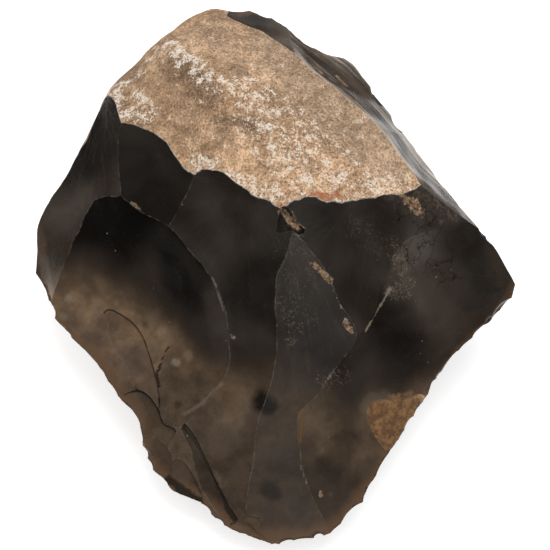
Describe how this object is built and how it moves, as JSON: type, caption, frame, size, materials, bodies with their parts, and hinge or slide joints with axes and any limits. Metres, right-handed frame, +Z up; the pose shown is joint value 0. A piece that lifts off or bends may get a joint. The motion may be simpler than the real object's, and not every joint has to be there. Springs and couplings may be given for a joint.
{
  "type": "flint core",
  "caption": "Fist-sized flint core with rough rind on its top and back and smooth, glossy flake scars struck from its other sides, resting on a small flat spot.",
  "frame": {"origin": "under the middle of the stone's box, level with the flat spot that it rests on", "axes": "+Z up as it rests, +X to the stone's right, and the thin knapped front towards -Y"},
  "size_m": [0.118, 0.1215, 0.0701],
  "materials": {
    "flint": "glossy dark grey-brown flint with matt tan rind on the top and back"
  },
  "bodies": {
    "root": {"flint_core": "flint"}
  },
  "joints": []
}
